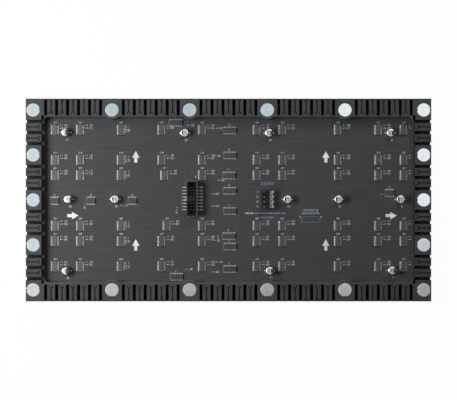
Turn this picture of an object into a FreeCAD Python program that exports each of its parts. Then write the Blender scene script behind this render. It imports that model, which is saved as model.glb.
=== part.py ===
# Flexible LED display module, lying on its LED face with its back up.
# The origin is the middle of the LED face, +X runs along the length and +Z out of the back.
import FreeCAD, Part
import os
import re
import Sketcher
from FreeCAD import Placement, Rotation, Vector

doc = FreeCAD.newDocument("LedModule")
sheet = doc.addObject("Spreadsheet::Sheet", "Sizes")

# Driving sizes in millimetres, with the ones worked out from them as formulas
sizes = {
    # Whole module
    "moduleLength": 320,
    "moduleWidth": 160,
    # LED face
    "pixelPitch": 2,
    "maskDepth": 1.5,
    "maskRib": 0.4,
    "lampRecess": 0.15,
    "lampGap": 0.05,
    "lampRows": "=round(moduleWidth / pixelPitch)",
    # Board
    "boardThickness": 1,
    "boardBack": "=maskDepth + boardThickness",
    # Rubber frame
    "frameHeight": 9.5,
    "stripWidth": 14.4,
    "recessCorner": 3.2,
    "flangeHeight": 1.6,
    "slotWidth": 2.4,
    "slotReach": 13.2,
    "sideReach": 12.4,
    "ledgeDrop": 5,
    "slotOuterWall": 0.8,
    "outerWallDrop": 2,
    "endMargin": 6.75,
    "magnetBlock": 15.6,
    "longBays": 5,
    "longSlots": 6,
    "sideBays": 4,
    "sideSlots": 3,
    "grooveWidth": 0.7,
    "grooveDepth": 1.4,
    "grooveEnd": 1,
    "grooveFork": 1.45,
    "grooveForkLength": 2.6,
    "magnetRadius": 5.4,
    "magnetThickness": 5,
    "magnetProud": 0.3,
    "magnetClearance": 0.05,
    "magnetEndInset": 5.9,
    "magnetSideInset": 9,
    "bossWall": 2,
    "frameTop": "=boardBack + frameHeight",
    "slotDepth": "=frameHeight - flangeHeight",
    "halfRecessX": "=moduleLength / 2 - stripWidth",
    "halfRecessY": "=moduleWidth / 2 - stripWidth",
    "bayPitch": "=(moduleLength - 2 * endMargin) / longBays",
    "slotPitch": "=(bayPitch - magnetBlock - slotWidth) / (longSlots - 1)",
    "magnetTop": "=frameTop + magnetProud",
    "magnetEnd": "=moduleLength / 2 - magnetEndInset",
    "magnetRow": "=moduleWidth / 2 - magnetSideInset",
    "sidePitch": "=2 * magnetRow / sideBays",
    "sideSlotPitch": "=(sidePitch - magnetBlock - slotWidth) / (sideSlots - 1)",
    # Chips: drivers with 24 leads, buffers with 16 and row switches
    "driverLength": 8.65,
    "driverWidth": 3.9,
    "driverLeadRun": 7.24,
    "leadSpan": 6,
    "bufferLength": 9.9,
    "bufferWidth": 3.9,
    "bufferSpan": 6,
    "bufferLeadRun": 9.3,
    "switchLength": 6.5,
    "switchWidth": 4.4,
    "switchSpan": 6.4,
    "switchLeadRun": 5.9,
    "chipHeight": 1.4,
    "chipStandoff": 0.1,
    "chipDraft": 0.15,
    "leadThickness": 0.2,
    "leadShoulder": 0.85,
    # Electrolytic capacitors
    "canRadius": 3.15,
    "canBevel": 0.45,
    "canHeight": 5.4,
    "baseSide": 6.6,
    "baseHeight": 1,
    "baseCorner": 1.4,
    "tabReach": 4.3,
    "tabStart": 1,
    "tabWidth": 0.8,
    "tabThickness": 0.2,
    "canBottom": "=boardBack + tabThickness + baseHeight",
    "canTop": "=canBottom + canHeight",
    # Small two-ended parts, placed from the end of a driver's leads
    "smallLength": 1.6,
    "smallWidth": 0.8,
    "smallHeight": 0.5,
    "smallPitch": 2.2,
    "smallOffset": 2.4,
    "smallLift": 1.3,
    # Data header
    "headerWidth": 8.4,
    "headerLength": 27.2,
    "headerHeight": 8.6,
    "headerWall": 1.1,
    "headerFloor": 2.2,
    "headerNotch": 4.5,
    "headerPins": 8,
    "headerColumnPitch": 2.54,
    "headerPinPitch": 2.54,
    "headerPin": 0.64,
    "headerPinTop": 7.4,
    "headerTail": 3.9,
    "tailThickness": 0.3,
    "pinClearance": 0.02,
    "headerX": "=-0.197 * halfRecessX",
    "headerY": "=0.018 * halfRecessY",
    "headerBottom": "=boardBack + tailThickness",
    "firstHeaderPin": "=headerY - (headerPins - 1) / 2 * headerPinPitch",
    "headerReach": "=(headerWidth - headerColumnPitch) / 2 + headerTail",
    # Power header
    "powerWidth": 7.3,
    "powerLength": 15,
    "powerHeight": 8.2,
    "powerWall": 0.9,
    "powerFloor": 2.6,
    "powerPins": 4,
    "powerPinPitch": 3.96,
    "powerPin": 1.14,
    "powerPinTop": 7,
    "powerPinOffset": 1.15,
    "powerTail": 3,
    "holdTabLength": 2,
    "powerX": "=0.201 * halfRecessX",
    "powerY": "=0.009 * halfRecessY",
    "powerBottom": "=boardBack + tailThickness",
    "powerPinX": "=powerX - powerPinOffset",
    "firstPowerPin": "=powerY - (powerPins - 1) / 2 * powerPinPitch",
    "powerReach": "=powerWidth / 2 + powerPinOffset + powerTail",
    # Bare pads
    "padThickness": 0.05,
    "padWidth": 0.7,
    "padLength": 1.4,
    "padPitch": 1.2,
    # Room that the parts of the last columns take up beside the ends of the recess
    "columnRoom": 6.8,
    "halfColumns": "=halfRecessX - columnRoom",
}
for line, (alias, content) in enumerate(sizes.items(), 1):
    sheet.set(f"A{line}", alias)
    sheet.set(f"B{line}", str(content))
    sheet.setAlias(f"B{line}", alias)
doc.recompute()


def value(alias):
    return float(sheet.get(alias))


def number(expression):
    return float(sheet.evalExpression(expression))


def bound(expression):
    """The same expression with each alias read from the sheet."""
    return re.sub(r"\b([a-z]+[A-Z]\w*)\b", r"Sizes.\1", expression)


def originPlane(body, role):
    for feature in body.Origin.OriginFeatures:
        if feature.Role == role:
            return feature
    raise ValueError(role)


def newBody(name):
    body = doc.addObject("PartDesign::Body", name)
    body.Label = name
    return body


def newSketch(body, name, plane="XY_Plane", height=None):
    """A sketch on one of the body's planes, raised by an expression."""
    sketch = body.newObject("Sketcher::SketchObject", name)
    sketch.AttachmentSupport = [(originPlane(body, plane), "")]
    sketch.MapMode = "FlatFace"
    if height:
        sketch.setExpression("AttachmentOffset.Base.z", bound(height))
    return sketch


def holdPoint(sketch, line, point, x, y):
    """Hold one point of a line at two expressions from the sketch's origin, or on its axes."""
    for kind, axis, expression in (("DistanceX", -2, x), ("DistanceY", -1, y)):
        if expression == "0":
            sketch.addConstraint(Sketcher.Constraint("PointOnObject", line, point, axis))
        else:
            rule = Sketcher.Constraint(kind, -1, 1, line, point, number(expression))
            index = sketch.addConstraint(rule)
            sketch.setExpression(f"Constraints[{index}]", bound(expression))


def polygon(sketch, points):
    """A closed outline whose corners are pairs of expressions."""
    corners = [Vector(number(x), number(y), 0) for x, y in points]
    count = len(corners)
    lines = []
    for index in range(count):
        edge = Part.LineSegment(corners[index], corners[(index + 1) % count])
        lines.append(sketch.addGeometry(edge, False))
    for index, line in enumerate(lines):
        following = lines[(index + 1) % count]
        sketch.addConstraint(Sketcher.Constraint("Coincident", line, 2, following, 1))
    for line, (x, y) in zip(lines, points):
        holdPoint(sketch, line, 1, x, y)


def rectangle(sketch, left, bottom, right, top):
    polygon(sketch, [(left, bottom), (right, bottom), (right, top), (left, top)])


def circle(sketch, x, y, radius):
    ring = Part.Circle(Vector(number(x), number(y), 0), Vector(0, 0, 1), number(radius))
    index = sketch.addGeometry(ring, False)
    rule = sketch.addConstraint(Sketcher.Constraint("Radius", index, number(radius)))
    sketch.setExpression(f"Constraints[{rule}]", bound(radius))
    holdPoint(sketch, index, 3, x, y)


def pad(body, sketch, name, height, midplane=False):
    feature = body.newObject("PartDesign::Pad", name)
    feature.Profile = sketch
    feature.Midplane = midplane
    feature.setExpression("Length", bound(height))
    return feature


def pocket(body, sketch, name, depth):
    """A cut that runs down from its sketch."""
    feature = body.newObject("PartDesign::Pocket", name)
    feature.Profile = sketch
    feature.setExpression("Length", bound(depth))
    return feature


def row(body, name, axis, spacing, count):
    """One step of a pattern: equal copies along an axis of the body."""
    step = doc.addObject("PartDesign::LinearPattern", name)
    step.Direction = (originPlane(body, axis), [""])
    step.Mode = "Spacing"
    step.setExpression("Offset", bound(spacing))
    step.setExpression("Occurrences", bound(count))
    return step


def mirror(body, name, plane):
    step = doc.addObject("PartDesign::Mirrored", name)
    step.MirrorPlane = (originPlane(body, plane), [""])
    return step


def repeat(body, name, originals, steps):
    feature = doc.addObject("PartDesign::MultiTransform", name)
    body.addObject(feature)
    feature.Originals = originals
    feature.Transformations = steps
    body.Tip = feature
    return feature


def forkedGroove(edge, reach):
    """The outline of one rib's groove: a stem along the rib that forks at both ends."""
    half = "grooveWidth / 2"
    inner = f"{edge} + {reach} - grooveEnd"
    outerFork = f"{edge} + grooveForkLength"
    innerFork = f"{inner} - grooveForkLength"
    return [
        (f"-grooveFork - {half}", edge),
        (f"-grooveFork + {half}", edge),
        ("0", f"{outerFork} - grooveWidth"),
        (f"grooveFork - {half}", edge),
        (f"grooveFork + {half}", edge),
        (half, outerFork),
        (half, innerFork),
        (f"grooveFork + {half}", inner),
        (f"grooveFork - {half}", inner),
        ("0", f"{innerFork} + grooveWidth"),
        (f"-grooveFork + {half}", inner),
        (f"-grooveFork - {half}", inner),
        (f"-{half}", innerFork),
        (f"-{half}", outerFork),
    ]


def roundRecess(body, ring):
    """Round the four upright edges in the corners of the recess."""
    doc.recompute()
    corner = Vector(value("halfRecessX"), value("halfRecessY"), 0)
    names = []
    for index, edge in enumerate(ring.Shape.Edges, 1):
        middle = edge.CenterOfMass
        if Vector(abs(middle.x), abs(middle.y), 0).isEqual(corner, 0.001):
            names.append(f"Edge{index}")
    fillet = body.newObject("PartDesign::Fillet", "RecessCorners")
    fillet.Base = (ring, names)
    fillet.setExpression("Radius", bound("recessCorner"))
    doc.recompute()


def frameRing():
    """The ring of rubber, with a round boss behind each magnet of the long strips."""
    body = newBody("FrameRing")
    outline = newSketch(body, "FrameOutline", height="boardBack")
    rectangle(outline, "-moduleLength / 2", "-moduleWidth / 2", "moduleLength / 2", "moduleWidth / 2")
    rectangle(outline, "-halfRecessX", "-halfRecessY", "halfRecessX", "halfRecessY")
    ring = pad(body, outline, "FrameRingPad", "frameHeight")
    roundRecess(body, ring)
    bossOutline = newSketch(body, "BossOutline", height="boardBack")
    circle(bossOutline, "-(longBays / 2 - 1) * bayPitch", "-magnetRow", "magnetRadius + bossWall")
    boss = pad(body, bossOutline, "Boss", "frameHeight")
    along = row(body, "BossesAlong", "X_Axis", "bayPitch", "longBays - 1")
    across = mirror(body, "BossesAcross", "XZ_Plane")
    repeat(body, "Bosses", [boss], [along, across])
    return body


def cutter(name, depth, points):
    """A tool that cuts down from the top of the frame: an outline and its depth."""
    body = newBody(name)
    outline = newSketch(body, f"{name}Outline", height=f"frameTop - ({depth})")
    polygon(outline, points)
    pad(body, outline, f"{name}Pad", depth)
    return body


def slotOutline(edge, reach):
    """A slot across one strip, its middle on the first axis, from an inset to the slots' reach."""
    return [
        ("-slotWidth / 2", edge),
        ("slotWidth / 2", edge),
        ("slotWidth / 2", reach),
        ("-slotWidth / 2", reach),
    ]


def spread(count, pitch):
    """Equal steps on both sides of the middle."""
    return [(index - (count - 1) / 2) * pitch for index in range(int(count))]


def longPlaces(perBay):
    """Places in the bays of both long strips: at the slots, or between them with one fewer in a bay."""
    offsets = spread(perBay, value("slotPitch"))
    bays = spread(value("longBays"), value("bayPitch"))
    places = [place(bay + offset, 0) for bay in bays for offset in offsets]
    return places + [place(0, 0, 180) * where for where in places]


def sidePlaces(perBay):
    """The same for the short strips, whose outlines are turned a quarter round."""
    offsets = spread(perBay, value("sideSlotPitch"))
    bays = spread(value("sideBays"), value("sidePitch"))
    places = [place(0, bay + offset, -90) for bay in bays for offset in offsets]
    return places + [place(0, 0, 180) * where for where in places]


def magnetPlaces():
    """The middles of the magnets in each strip, under the name of its node."""
    along = spread(value("longBays") - 1, value("bayPitch"))
    down = spread(value("sideBays") + 1, value("sidePitch"))
    outward = value("magnetRow")
    end = value("magnetEnd")
    return {
        "magnets_bottom_row": [place(x, -outward) for x in along],
        "magnets_top_row": [place(x, outward) for x in along],
        "magnets_left_column": [place(-end, y) for y in down],
        "magnets_right_column": [place(end, y) for y in down],
    }


def frameCuts():
    """Everything that is cut from the ring: slots with low outer walls, ledges, grooves and seats."""
    longEdge = "-moduleWidth / 2"
    sideEdge = "-moduleLength / 2"
    longSlot = cutter("LongSlotCut", "slotDepth",
                      slotOutline(f"{longEdge} + slotOuterWall", f"{longEdge} + slotReach"))
    slotMouth = cutter("SlotMouthCut", "outerWallDrop",
                       slotOutline(longEdge, f"{longEdge} + slotOuterWall"))
    sideSlot = cutter("SideSlotCut", "slotDepth", slotOutline(sideEdge, f"{sideEdge} + sideReach"))
    ledge = cutter("LedgeCut", "ledgeDrop", [
        ("moduleLength / 2 - sideReach", f"{longEdge} + slotReach"),
        ("moduleLength / 2 - sideReach", f"-({longEdge} + slotReach)"),
        ("halfRecessX", f"-({longEdge} + slotReach)"),
        ("halfRecessX", f"{longEdge} + slotReach"),
    ])
    longGroove = cutter("LongGrooveCut", "grooveDepth", forkedGroove(longEdge, "slotReach"))
    sideGroove = cutter("SideGrooveCut", "grooveDepth", forkedGroove(sideEdge, "sideReach"))
    seat = doc.addObject("Part::Cylinder", "SeatCut")
    seat.setExpression("Radius", bound("magnetRadius + magnetClearance"))
    seat.setExpression("Height", bound("magnetThickness - magnetProud"))
    seat.setExpression("Placement.Base.z", bound("magnetTop - magnetThickness"))
    doc.recompute()
    shapes = copies(longSlot, longPlaces(value("longSlots")))
    shapes += copies(slotMouth, longPlaces(value("longSlots")))
    shapes += copies(sideSlot, sidePlaces(value("sideSlots")))
    shapes += copies(ledge, bothSides([place(0, 0)]))
    shapes += copies(longGroove, longPlaces(value("longSlots") - 1))
    shapes += copies(sideGroove, sidePlaces(value("sideSlots") - 1))
    for places in magnetPlaces().values():
        shapes += copies(seat, places)
    return group("FrameCuts", shapes)


def rubberFrame():
    frame = doc.addObject("Part::Cut", "rubber_frame")
    frame.Base = frameRing()
    frame.Tool = frameCuts()
    frame.Refine = False
    return frame


def ledMask():
    """The mask of the LED face: a thin sheet with one long slot for each row of lamps."""
    body = newBody("led_mask")
    outline = newSketch(body, "MaskOutline")
    rectangle(outline, "-moduleLength / 2", "-moduleWidth / 2", "moduleLength / 2", "moduleWidth / 2")
    pad(body, outline, "MaskSheet", "maskDepth")
    slotOutline = newSketch(body, "LampSlotOutline", height="maskDepth")
    rectangle(slotOutline, "-moduleLength / 2 + maskRib / 2", "-moduleWidth / 2 + maskRib / 2",
              "moduleLength / 2 - maskRib / 2", "-moduleWidth / 2 + pixelPitch - maskRib / 2")
    slot = pocket(body, slotOutline, "LampSlot", "maskDepth")
    rows = row(body, "LampSlotRows", "Y_Axis", "pixelPitch", "lampRows")
    repeat(body, "LampSlots", [slot], [rows])
    return body


def circuitBoard():
    board = doc.addObject("Part::Box", "circuit_board")
    board.setExpression("Length", bound("moduleLength"))
    board.setExpression("Width", bound("moduleWidth"))
    board.setExpression("Height", bound("boardThickness"))
    board.setExpression("Placement.Base.x", bound("-moduleLength / 2"))
    board.setExpression("Placement.Base.y", bound("-moduleWidth / 2"))
    board.setExpression("Placement.Base.z", bound("maskDepth"))
    return board


def boxPattern(name, length, width, height, bottom, left=None):
    """A box that copies are made from, centred on the Z axis unless its left end is given."""
    block = doc.addObject("Part::Box", name)
    block.setExpression("Length", bound(length))
    block.setExpression("Width", bound(width))
    block.setExpression("Height", bound(height))
    block.setExpression("Placement.Base.x", bound(left or f"-({length}) / 2"))
    block.setExpression("Placement.Base.y", bound(f"-({width}) / 2"))
    block.setExpression("Placement.Base.z", bound(bottom))
    return block


def chipPattern(name, width, length):
    """A moulded chip body whose sides lean in towards the top."""
    block = doc.addObject("Part::Wedge", name)
    block.setExpression("Xmin", bound(f"-{width} / 2"))
    block.setExpression("Xmax", bound(f"{width} / 2"))
    block.setExpression("X2min", bound(f"-{width} / 2 + chipDraft"))
    block.setExpression("X2max", bound(f"{width} / 2 - chipDraft"))
    block.setExpression("Zmin", bound(f"-{length} / 2"))
    block.setExpression("Zmax", bound(f"{length} / 2"))
    block.setExpression("Z2min", bound(f"-{length} / 2 + chipDraft"))
    block.setExpression("Z2max", bound(f"{length} / 2 - chipDraft"))
    block.setExpression("Ymin", bound("boardBack + chipStandoff"))
    block.setExpression("Ymax", bound("boardBack + chipStandoff + chipHeight"))
    block.Placement = Placement(Vector(0, 0, 0), Rotation(Vector(1, 0, 0), 90))
    return block


def leadPattern(name, width, span, run):
    """One side's leads as a strip that falls from the chip's side to its feet on the board."""
    body = newBody(name)
    profile = newSketch(body, f"{name}Profile", plane="XZ_Plane")
    polygon(profile, [
        (f"{width} / 2", "boardBack"),
        (f"{span} / 2", "boardBack"),
        (f"{span} / 2", "boardBack + leadThickness"),
        (f"{width} / 2", "boardBack + leadShoulder"),
    ])
    pad(body, profile, f"{name}Strip", run, midplane=True)
    return body


def canPattern():
    """The aluminium can of an electrolytic capacitor, its top edge bevelled."""
    body = newBody("CanPattern")
    profile = newSketch(body, "CanProfile", plane="XZ_Plane")
    polygon(profile, [
        ("0", "canBottom"),
        ("canRadius", "canBottom"),
        ("canRadius", "canTop - canBevel"),
        ("canRadius - canBevel", "canTop"),
        ("0", "canTop"),
    ])
    turn = body.newObject("PartDesign::Revolution", "CanTurn")
    turn.Profile = profile
    turn.ReferenceAxis = (profile, ["V_Axis"])
    turn.Angle = 360
    return body


def basePattern():
    """The moulded base under a can, with two cut corners at its positive end."""
    body = newBody("BasePattern")
    outline = newSketch(body, "BaseOutline", height="boardBack + tabThickness")
    half = "baseSide / 2"
    polygon(outline, [
        (f"-{half} + baseCorner", f"-{half}"),
        (half, f"-{half}"),
        (half, half),
        (f"-{half} + baseCorner", half),
        (f"-{half}", f"{half} - baseCorner"),
        (f"-{half}", f"-{half} + baseCorner"),
    ])
    pad(body, outline, "BaseBlock", "baseHeight")
    return body


def headerShroud():
    """The shroud of the data header: an open box with a polarising notch and a hole for each pin."""
    body = newBody("data_header_shroud")
    outline = newSketch(body, "ShroudOutline", height="headerBottom")
    rectangle(outline, "headerX - headerWidth / 2", "headerY - headerLength / 2",
              "headerX + headerWidth / 2", "headerY + headerLength / 2")
    pad(body, outline, "ShroudBlock", "headerHeight")
    inside = newSketch(body, "ShroudInside", height="headerBottom + headerHeight")
    rectangle(inside, "headerX - headerWidth / 2 + headerWall", "headerY - headerLength / 2 + headerWall",
              "headerX + headerWidth / 2 - headerWall", "headerY + headerLength / 2 - headerWall")
    pocket(body, inside, "ShroudCavity", "headerHeight - headerFloor")
    notch = newSketch(body, "NotchOutline", height="headerBottom + headerHeight")
    rectangle(notch, "headerX - headerWidth / 2", "headerY - headerNotch / 2",
              "headerX - headerWidth / 2 + headerWall", "headerY + headerNotch / 2")
    pocket(body, notch, "ShroudNotch", "headerHeight - headerFloor")
    hole = newSketch(body, "PinHoleOutline", height="headerBottom + headerFloor")
    half = "(headerPin / 2 + pinClearance)"
    rectangle(hole, f"headerX - headerColumnPitch / 2 - {half}", f"firstHeaderPin - {half}",
              f"headerX - headerColumnPitch / 2 + {half}", f"firstHeaderPin + {half}")
    pinHole = pocket(body, hole, "PinHole", "headerFloor")
    along = row(body, "PinHolesAlong", "Y_Axis", "headerPinPitch", "headerPins")
    across = row(body, "PinHolesAcross", "X_Axis", "headerColumnPitch", "2")
    repeat(body, "PinHoles", [pinHole], [along, across])
    return body


def pinPattern(name, thickness, top, reach, tail):
    """A pin with its tail: it stands on the Z axis and its tail runs out flat along +X."""
    body = newBody(name)
    profile = newSketch(body, f"{name}Profile", plane="XZ_Plane")
    polygon(profile, [
        (f"-{thickness} / 2", "boardBack"),
        (reach, "boardBack"),
        (reach, f"boardBack + {tail}"),
        (f"{thickness} / 2", f"boardBack + {tail}"),
        (f"{thickness} / 2", f"boardBack + {top}"),
        (f"-{thickness} / 2", f"boardBack + {top}"),
    ])
    pad(body, profile, f"{name}Bar", thickness, midplane=True)
    return body


def powerBody():
    """The shroud of the power header: an open box with a hole in its floor for each pin."""
    body = newBody("power_header_body")
    outline = newSketch(body, "PowerOutline", height="powerBottom")
    rectangle(outline, "powerX - powerWidth / 2", "powerY - powerLength / 2",
              "powerX + powerWidth / 2", "powerY + powerLength / 2")
    pad(body, outline, "PowerBlock", "powerHeight")
    inside = newSketch(body, "PowerInside", height="powerBottom + powerHeight")
    rectangle(inside, "powerX - powerWidth / 2 + powerWall", "powerY - powerLength / 2 + powerWall",
              "powerX + powerWidth / 2 - powerWall", "powerY + powerLength / 2 - powerWall")
    pocket(body, inside, "PowerCavity", "powerHeight - powerFloor")
    hole = newSketch(body, "PowerHoleOutline", height="powerBottom + powerFloor")
    half = "(powerPin / 2 + pinClearance)"
    rectangle(hole, f"powerPinX - {half}", f"firstPowerPin - {half}",
              f"powerPinX + {half}", f"firstPowerPin + {half}")
    pinHole = pocket(body, hole, "PowerHole", "powerFloor")
    along = row(body, "PowerHolesAlong", "Y_Axis", "powerPinPitch", "powerPins")
    repeat(body, "PowerHoles", [pinHole], [along])
    return body


def place(x, y, angle=0):
    return Placement(Vector(x, y, 0), Rotation(Vector(0, 0, 1), angle))


def spot(acrossShare, upShare, angle=0):
    """A place on the board, in hundredths of the way to the last column and to the long strips."""
    x = acrossShare / 100 * value("halfColumns")
    y = upShare / 100 * value("halfRecessY")
    return place(x, y, angle)


def copies(pattern, places):
    shapes = []
    for where in places:
        one = pattern.Shape.copy()
        one.Placement = where * one.Placement
        shapes.append(one)
    return shapes


def group(name, shapes):
    """One node that holds several like solids."""
    feature = doc.addObject("Part::Feature", name)
    feature.Label = name
    feature.Shape = shapes[0] if len(shapes) == 1 else Part.makeCompound(shapes)
    return feature


def bothSides(places):
    """Each place, and the same place turned half round."""
    turned = [where * place(0, 0, 180) for where in places]
    return places + turned


def magnets():
    """Disc magnets, one in each seat, a node for each strip."""
    disc = doc.addObject("Part::Cylinder", "MagnetPattern")
    disc.setExpression("Radius", bound("magnetRadius"))
    disc.setExpression("Height", bound("magnetThickness"))
    disc.setExpression("Placement.Base.z", bound("magnetTop - magnetThickness"))
    doc.recompute()
    return [group(name, copies(disc, places)) for name, places in magnetPlaces().items()]


driverColumns = (-99.4, -85.0, -61.7, -38.5, -15.3, 16.0, 30.6, 62.4, 85.5, 100.0)
driverRows = (85.1, 48.6, 30.0, -31.1, -49.7, -80.2)
shiftedDrivers = {(2, 3): -36.9, (3, 3): -35.5}
turnedColumn = 2

bufferSpots = (
    (0.8, 84.2), (0.8, 54.0), (0.3, 29.7), (0.8, 11.2), (0.8, -13.3), (0.3, -43.7),
    (0.8, -56.3), (0.8, -83.4), (-30.1, 93.4), (-29.7, -92.8),
)
switchSpots = ((-99.5, -0.9), (-78.6, -0.8), (-54.9, -0.9), (92.2, 8.6))

# Capacitors: place in hundredths of the recess, and the turn that points the dark half
capacitorSpots = (
    (-92.9, 81.7, 0), (-25.1, 81.0, 180), (23.1, 81.0, 0), (92.4, 81.0, 0),
    (-91.4, 0.8, 0), (-64.9, 0.8, 0), (33.6, 0.8, 180), (62.7, 0.8, 180), (98.1, 0.8, 180),
    (-92.6, -85.8, 0), (23.5, -85.5, 0), (93.3, -85.1, 0),
)

# Small parts that stand by themselves, with their turn
looseCapacitors = (
    (-8.8, 7.4, 0), (-8.8, -7.5, 0), (-5.5, 23.9, 0), (-6.3, 86.9, 0), (-7.9, 53.4, 0),
    (-5.9, -44.0, 90), (-6.7, -75.0, 0), (-8.8, -87.2, 0), (-22.9, 90.6, 0),
)
looseResistors = (
    (-29.6, -10.4, 90), (-8.1, -49.1, 0), (-23.9, -83.9, 0), (87.6, 6.7, 0),
    (-82.3, -4.6, 90), (-61.1, -6.6, 0),
)
sparePads = 12
sparePadSpot = (47.0, -16.1)


def driverPlaces(rowIndex):
    places = []
    for column, share in enumerate(driverColumns):
        across = shiftedDrivers.get((rowIndex, column), share)
        places.append(spot(across, driverRows[rowIndex]))
    return places


def driverNodes():
    """Six rows of driver chips with their leads."""
    chip = chipPattern("DriverPattern", "driverWidth", "driverLength")
    leads = leadPattern("DriverLeadPattern", "driverWidth", "leadSpan", "driverLeadRun")
    doc.recompute()
    nodes = []
    for index in range(len(driverRows)):
        places = driverPlaces(index)
        nodes.append(group(f"driver_chips_row_{index + 1}", copies(chip, places)))
        nodes.append(group(f"driver_leads_row_{index + 1}", copies(leads, bothSides(places))))
    return nodes


def bufferNodes():
    """The buffer chips down the middle and the row-switch chips, turned a quarter round."""
    bufferChip = chipPattern("BufferPattern", "bufferWidth", "bufferLength")
    bufferLeads = leadPattern("BufferLeadPattern", "bufferWidth", "bufferSpan", "bufferLeadRun")
    switchChip = chipPattern("SwitchPattern", "switchWidth", "switchLength")
    switchLeads = leadPattern("SwitchLeadPattern", "switchWidth", "switchSpan", "switchLeadRun")
    doc.recompute()
    buffers = [spot(x, y, 90) for x, y in bufferSpots]
    switches = [spot(x, y, 90) for x, y in switchSpots]
    return [
        group("buffer_chips", copies(bufferChip, buffers)),
        group("buffer_leads", copies(bufferLeads, bothSides(buffers))),
        group("row_switch_chips", copies(switchChip, switches)),
        group("row_switch_leads", copies(switchLeads, bothSides(switches))),
    ]


def capacitorNodes():
    """Electrolytic capacitors: a can on a moulded base that stands on two flat tabs."""
    can = canPattern()
    base = basePattern()
    tabLength = "tabReach - tabStart"
    tab = boxPattern("TabPattern", tabLength, "tabWidth", "tabThickness", "boardBack", left="tabStart")
    doc.recompute()
    places = [spot(*where) for where in capacitorSpots]
    return [
        group("capacitor_cans", copies(can, places)),
        group("capacitor_bases", copies(base, places)),
        group("capacitor_tabs", copies(tab, bothSides(places))),
    ]


def smallNodes():
    """Two-ended parts: a resistor over a capacitor beside each driver chip, and the loose ones."""
    small = boxPattern("SmallPattern", "smallLength", "smallWidth", "smallHeight", "boardBack")
    doc.recompute()
    out = value("leadSpan") / 2 + value("smallOffset")
    lift = value("smallLift")
    pitch = value("smallPitch")
    upper = [spot(*where) for where in looseResistors]
    lower = [spot(*where) for where in looseCapacitors]
    for rowIndex in range(len(driverRows)):
        for column, where in enumerate(driverPlaces(rowIndex)):
            if column == turnedColumn:
                middle = lift + pitch / 2
                lower.append(where * place(out - pitch / 2, middle, 90))
                upper.append(where * place(out + pitch / 2, middle, 90))
            else:
                lower.append(where * place(out, lift))
                upper.append(where * place(out, lift + pitch))
    return [group("resistors", copies(small, upper)), group("chip_capacitors", copies(small, lower))]


def headerNodes():
    """The data header and the power header with their pins."""
    shroud = headerShroud()
    power = powerBody()
    pin = pinPattern("HeaderPinPattern", "headerPin", "headerPinTop", "headerReach", "tailThickness")
    powerPin = pinPattern("PowerPinPattern", "powerPin", "powerPinTop", "powerReach", "tailThickness")
    tab = boxPattern("HoldTabPattern", "holdTabLength", "powerPin", "tailThickness", "boardBack",
                     left="powerWidth / 2")
    doc.recompute()
    pinPlaces = []
    for index in range(int(value("headerPins"))):
        y = value("firstHeaderPin") + index * value("headerPinPitch")
        pinPlaces.append(place(value("headerX") + value("headerColumnPitch") / 2, y))
        pinPlaces.append(place(value("headerX") - value("headerColumnPitch") / 2, y, 180))
    powerPlaces = []
    tabPlaces = []
    for index in range(int(value("powerPins"))):
        y = value("firstPowerPin") + index * value("powerPinPitch")
        powerPlaces.append(place(value("powerPinX"), y))
        tabPlaces.append(place(value("powerX"), y + value("powerPinPitch") / 2))
    pins = group("data_header_pins", copies(pin, pinPlaces))
    blades = copies(powerPin, powerPlaces) + copies(tab, tabPlaces[:-1])
    return [shroud, power, pins, group("power_header_pins", blades)]


def lampRows():
    """One bar for each row of lamps, sunk a little in the mask and backed by the board."""
    bar = boxPattern("LampPattern", "moduleLength - maskRib - 2 * lampGap",
                     "pixelPitch - maskRib - 2 * lampGap", "maskDepth - lampRecess", "lampRecess")
    doc.recompute()
    places = []
    for index in range(int(value("lampRows"))):
        y = (index + 0.5) * value("pixelPitch") - value("moduleWidth") / 2
        places.append(place(0, y))
    return group("lamp_rows", copies(bar, places))


def spareHeaderPads():
    """The bare pads of a connector that is not fitted."""
    flat = boxPattern("PadPattern", "padWidth", "padLength", "padThickness", "boardBack")
    doc.recompute()
    places = []
    for index in range(sparePads):
        offset = (index - (sparePads - 1) / 2) * value("padPitch")
        places.append(spot(*sparePadSpot) * place(offset, 0))
    return group("spare_header_pads", copies(flat, places))


def checkDocument():
    for thing in doc.Objects:
        if "Invalid" in thing.State or "Error" in thing.State:
            raise RuntimeError(f"{thing.Label}: {thing.State}")


def writeNodes(nodes):
    os.makedirs("parts", exist_ok=True)
    for node in nodes:
        if node.Shape.isNull() or not node.Shape.isValid():
            raise RuntimeError(f"{node.Label} has no valid shape")
    for node in nodes:
        node.Shape.exportStep(f"parts/{node.Label}.step")


nodes = [rubberFrame(), circuitBoard(), ledMask(), lampRows(), spareHeaderPads()]
nodes += magnets() + driverNodes() + bufferNodes() + capacitorNodes() + smallNodes() + headerNodes()
doc.recompute()
checkDocument()
writeNodes(nodes)
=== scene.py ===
import math

import bmesh
import bpy
from mathutils import Matrix, Vector


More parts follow.
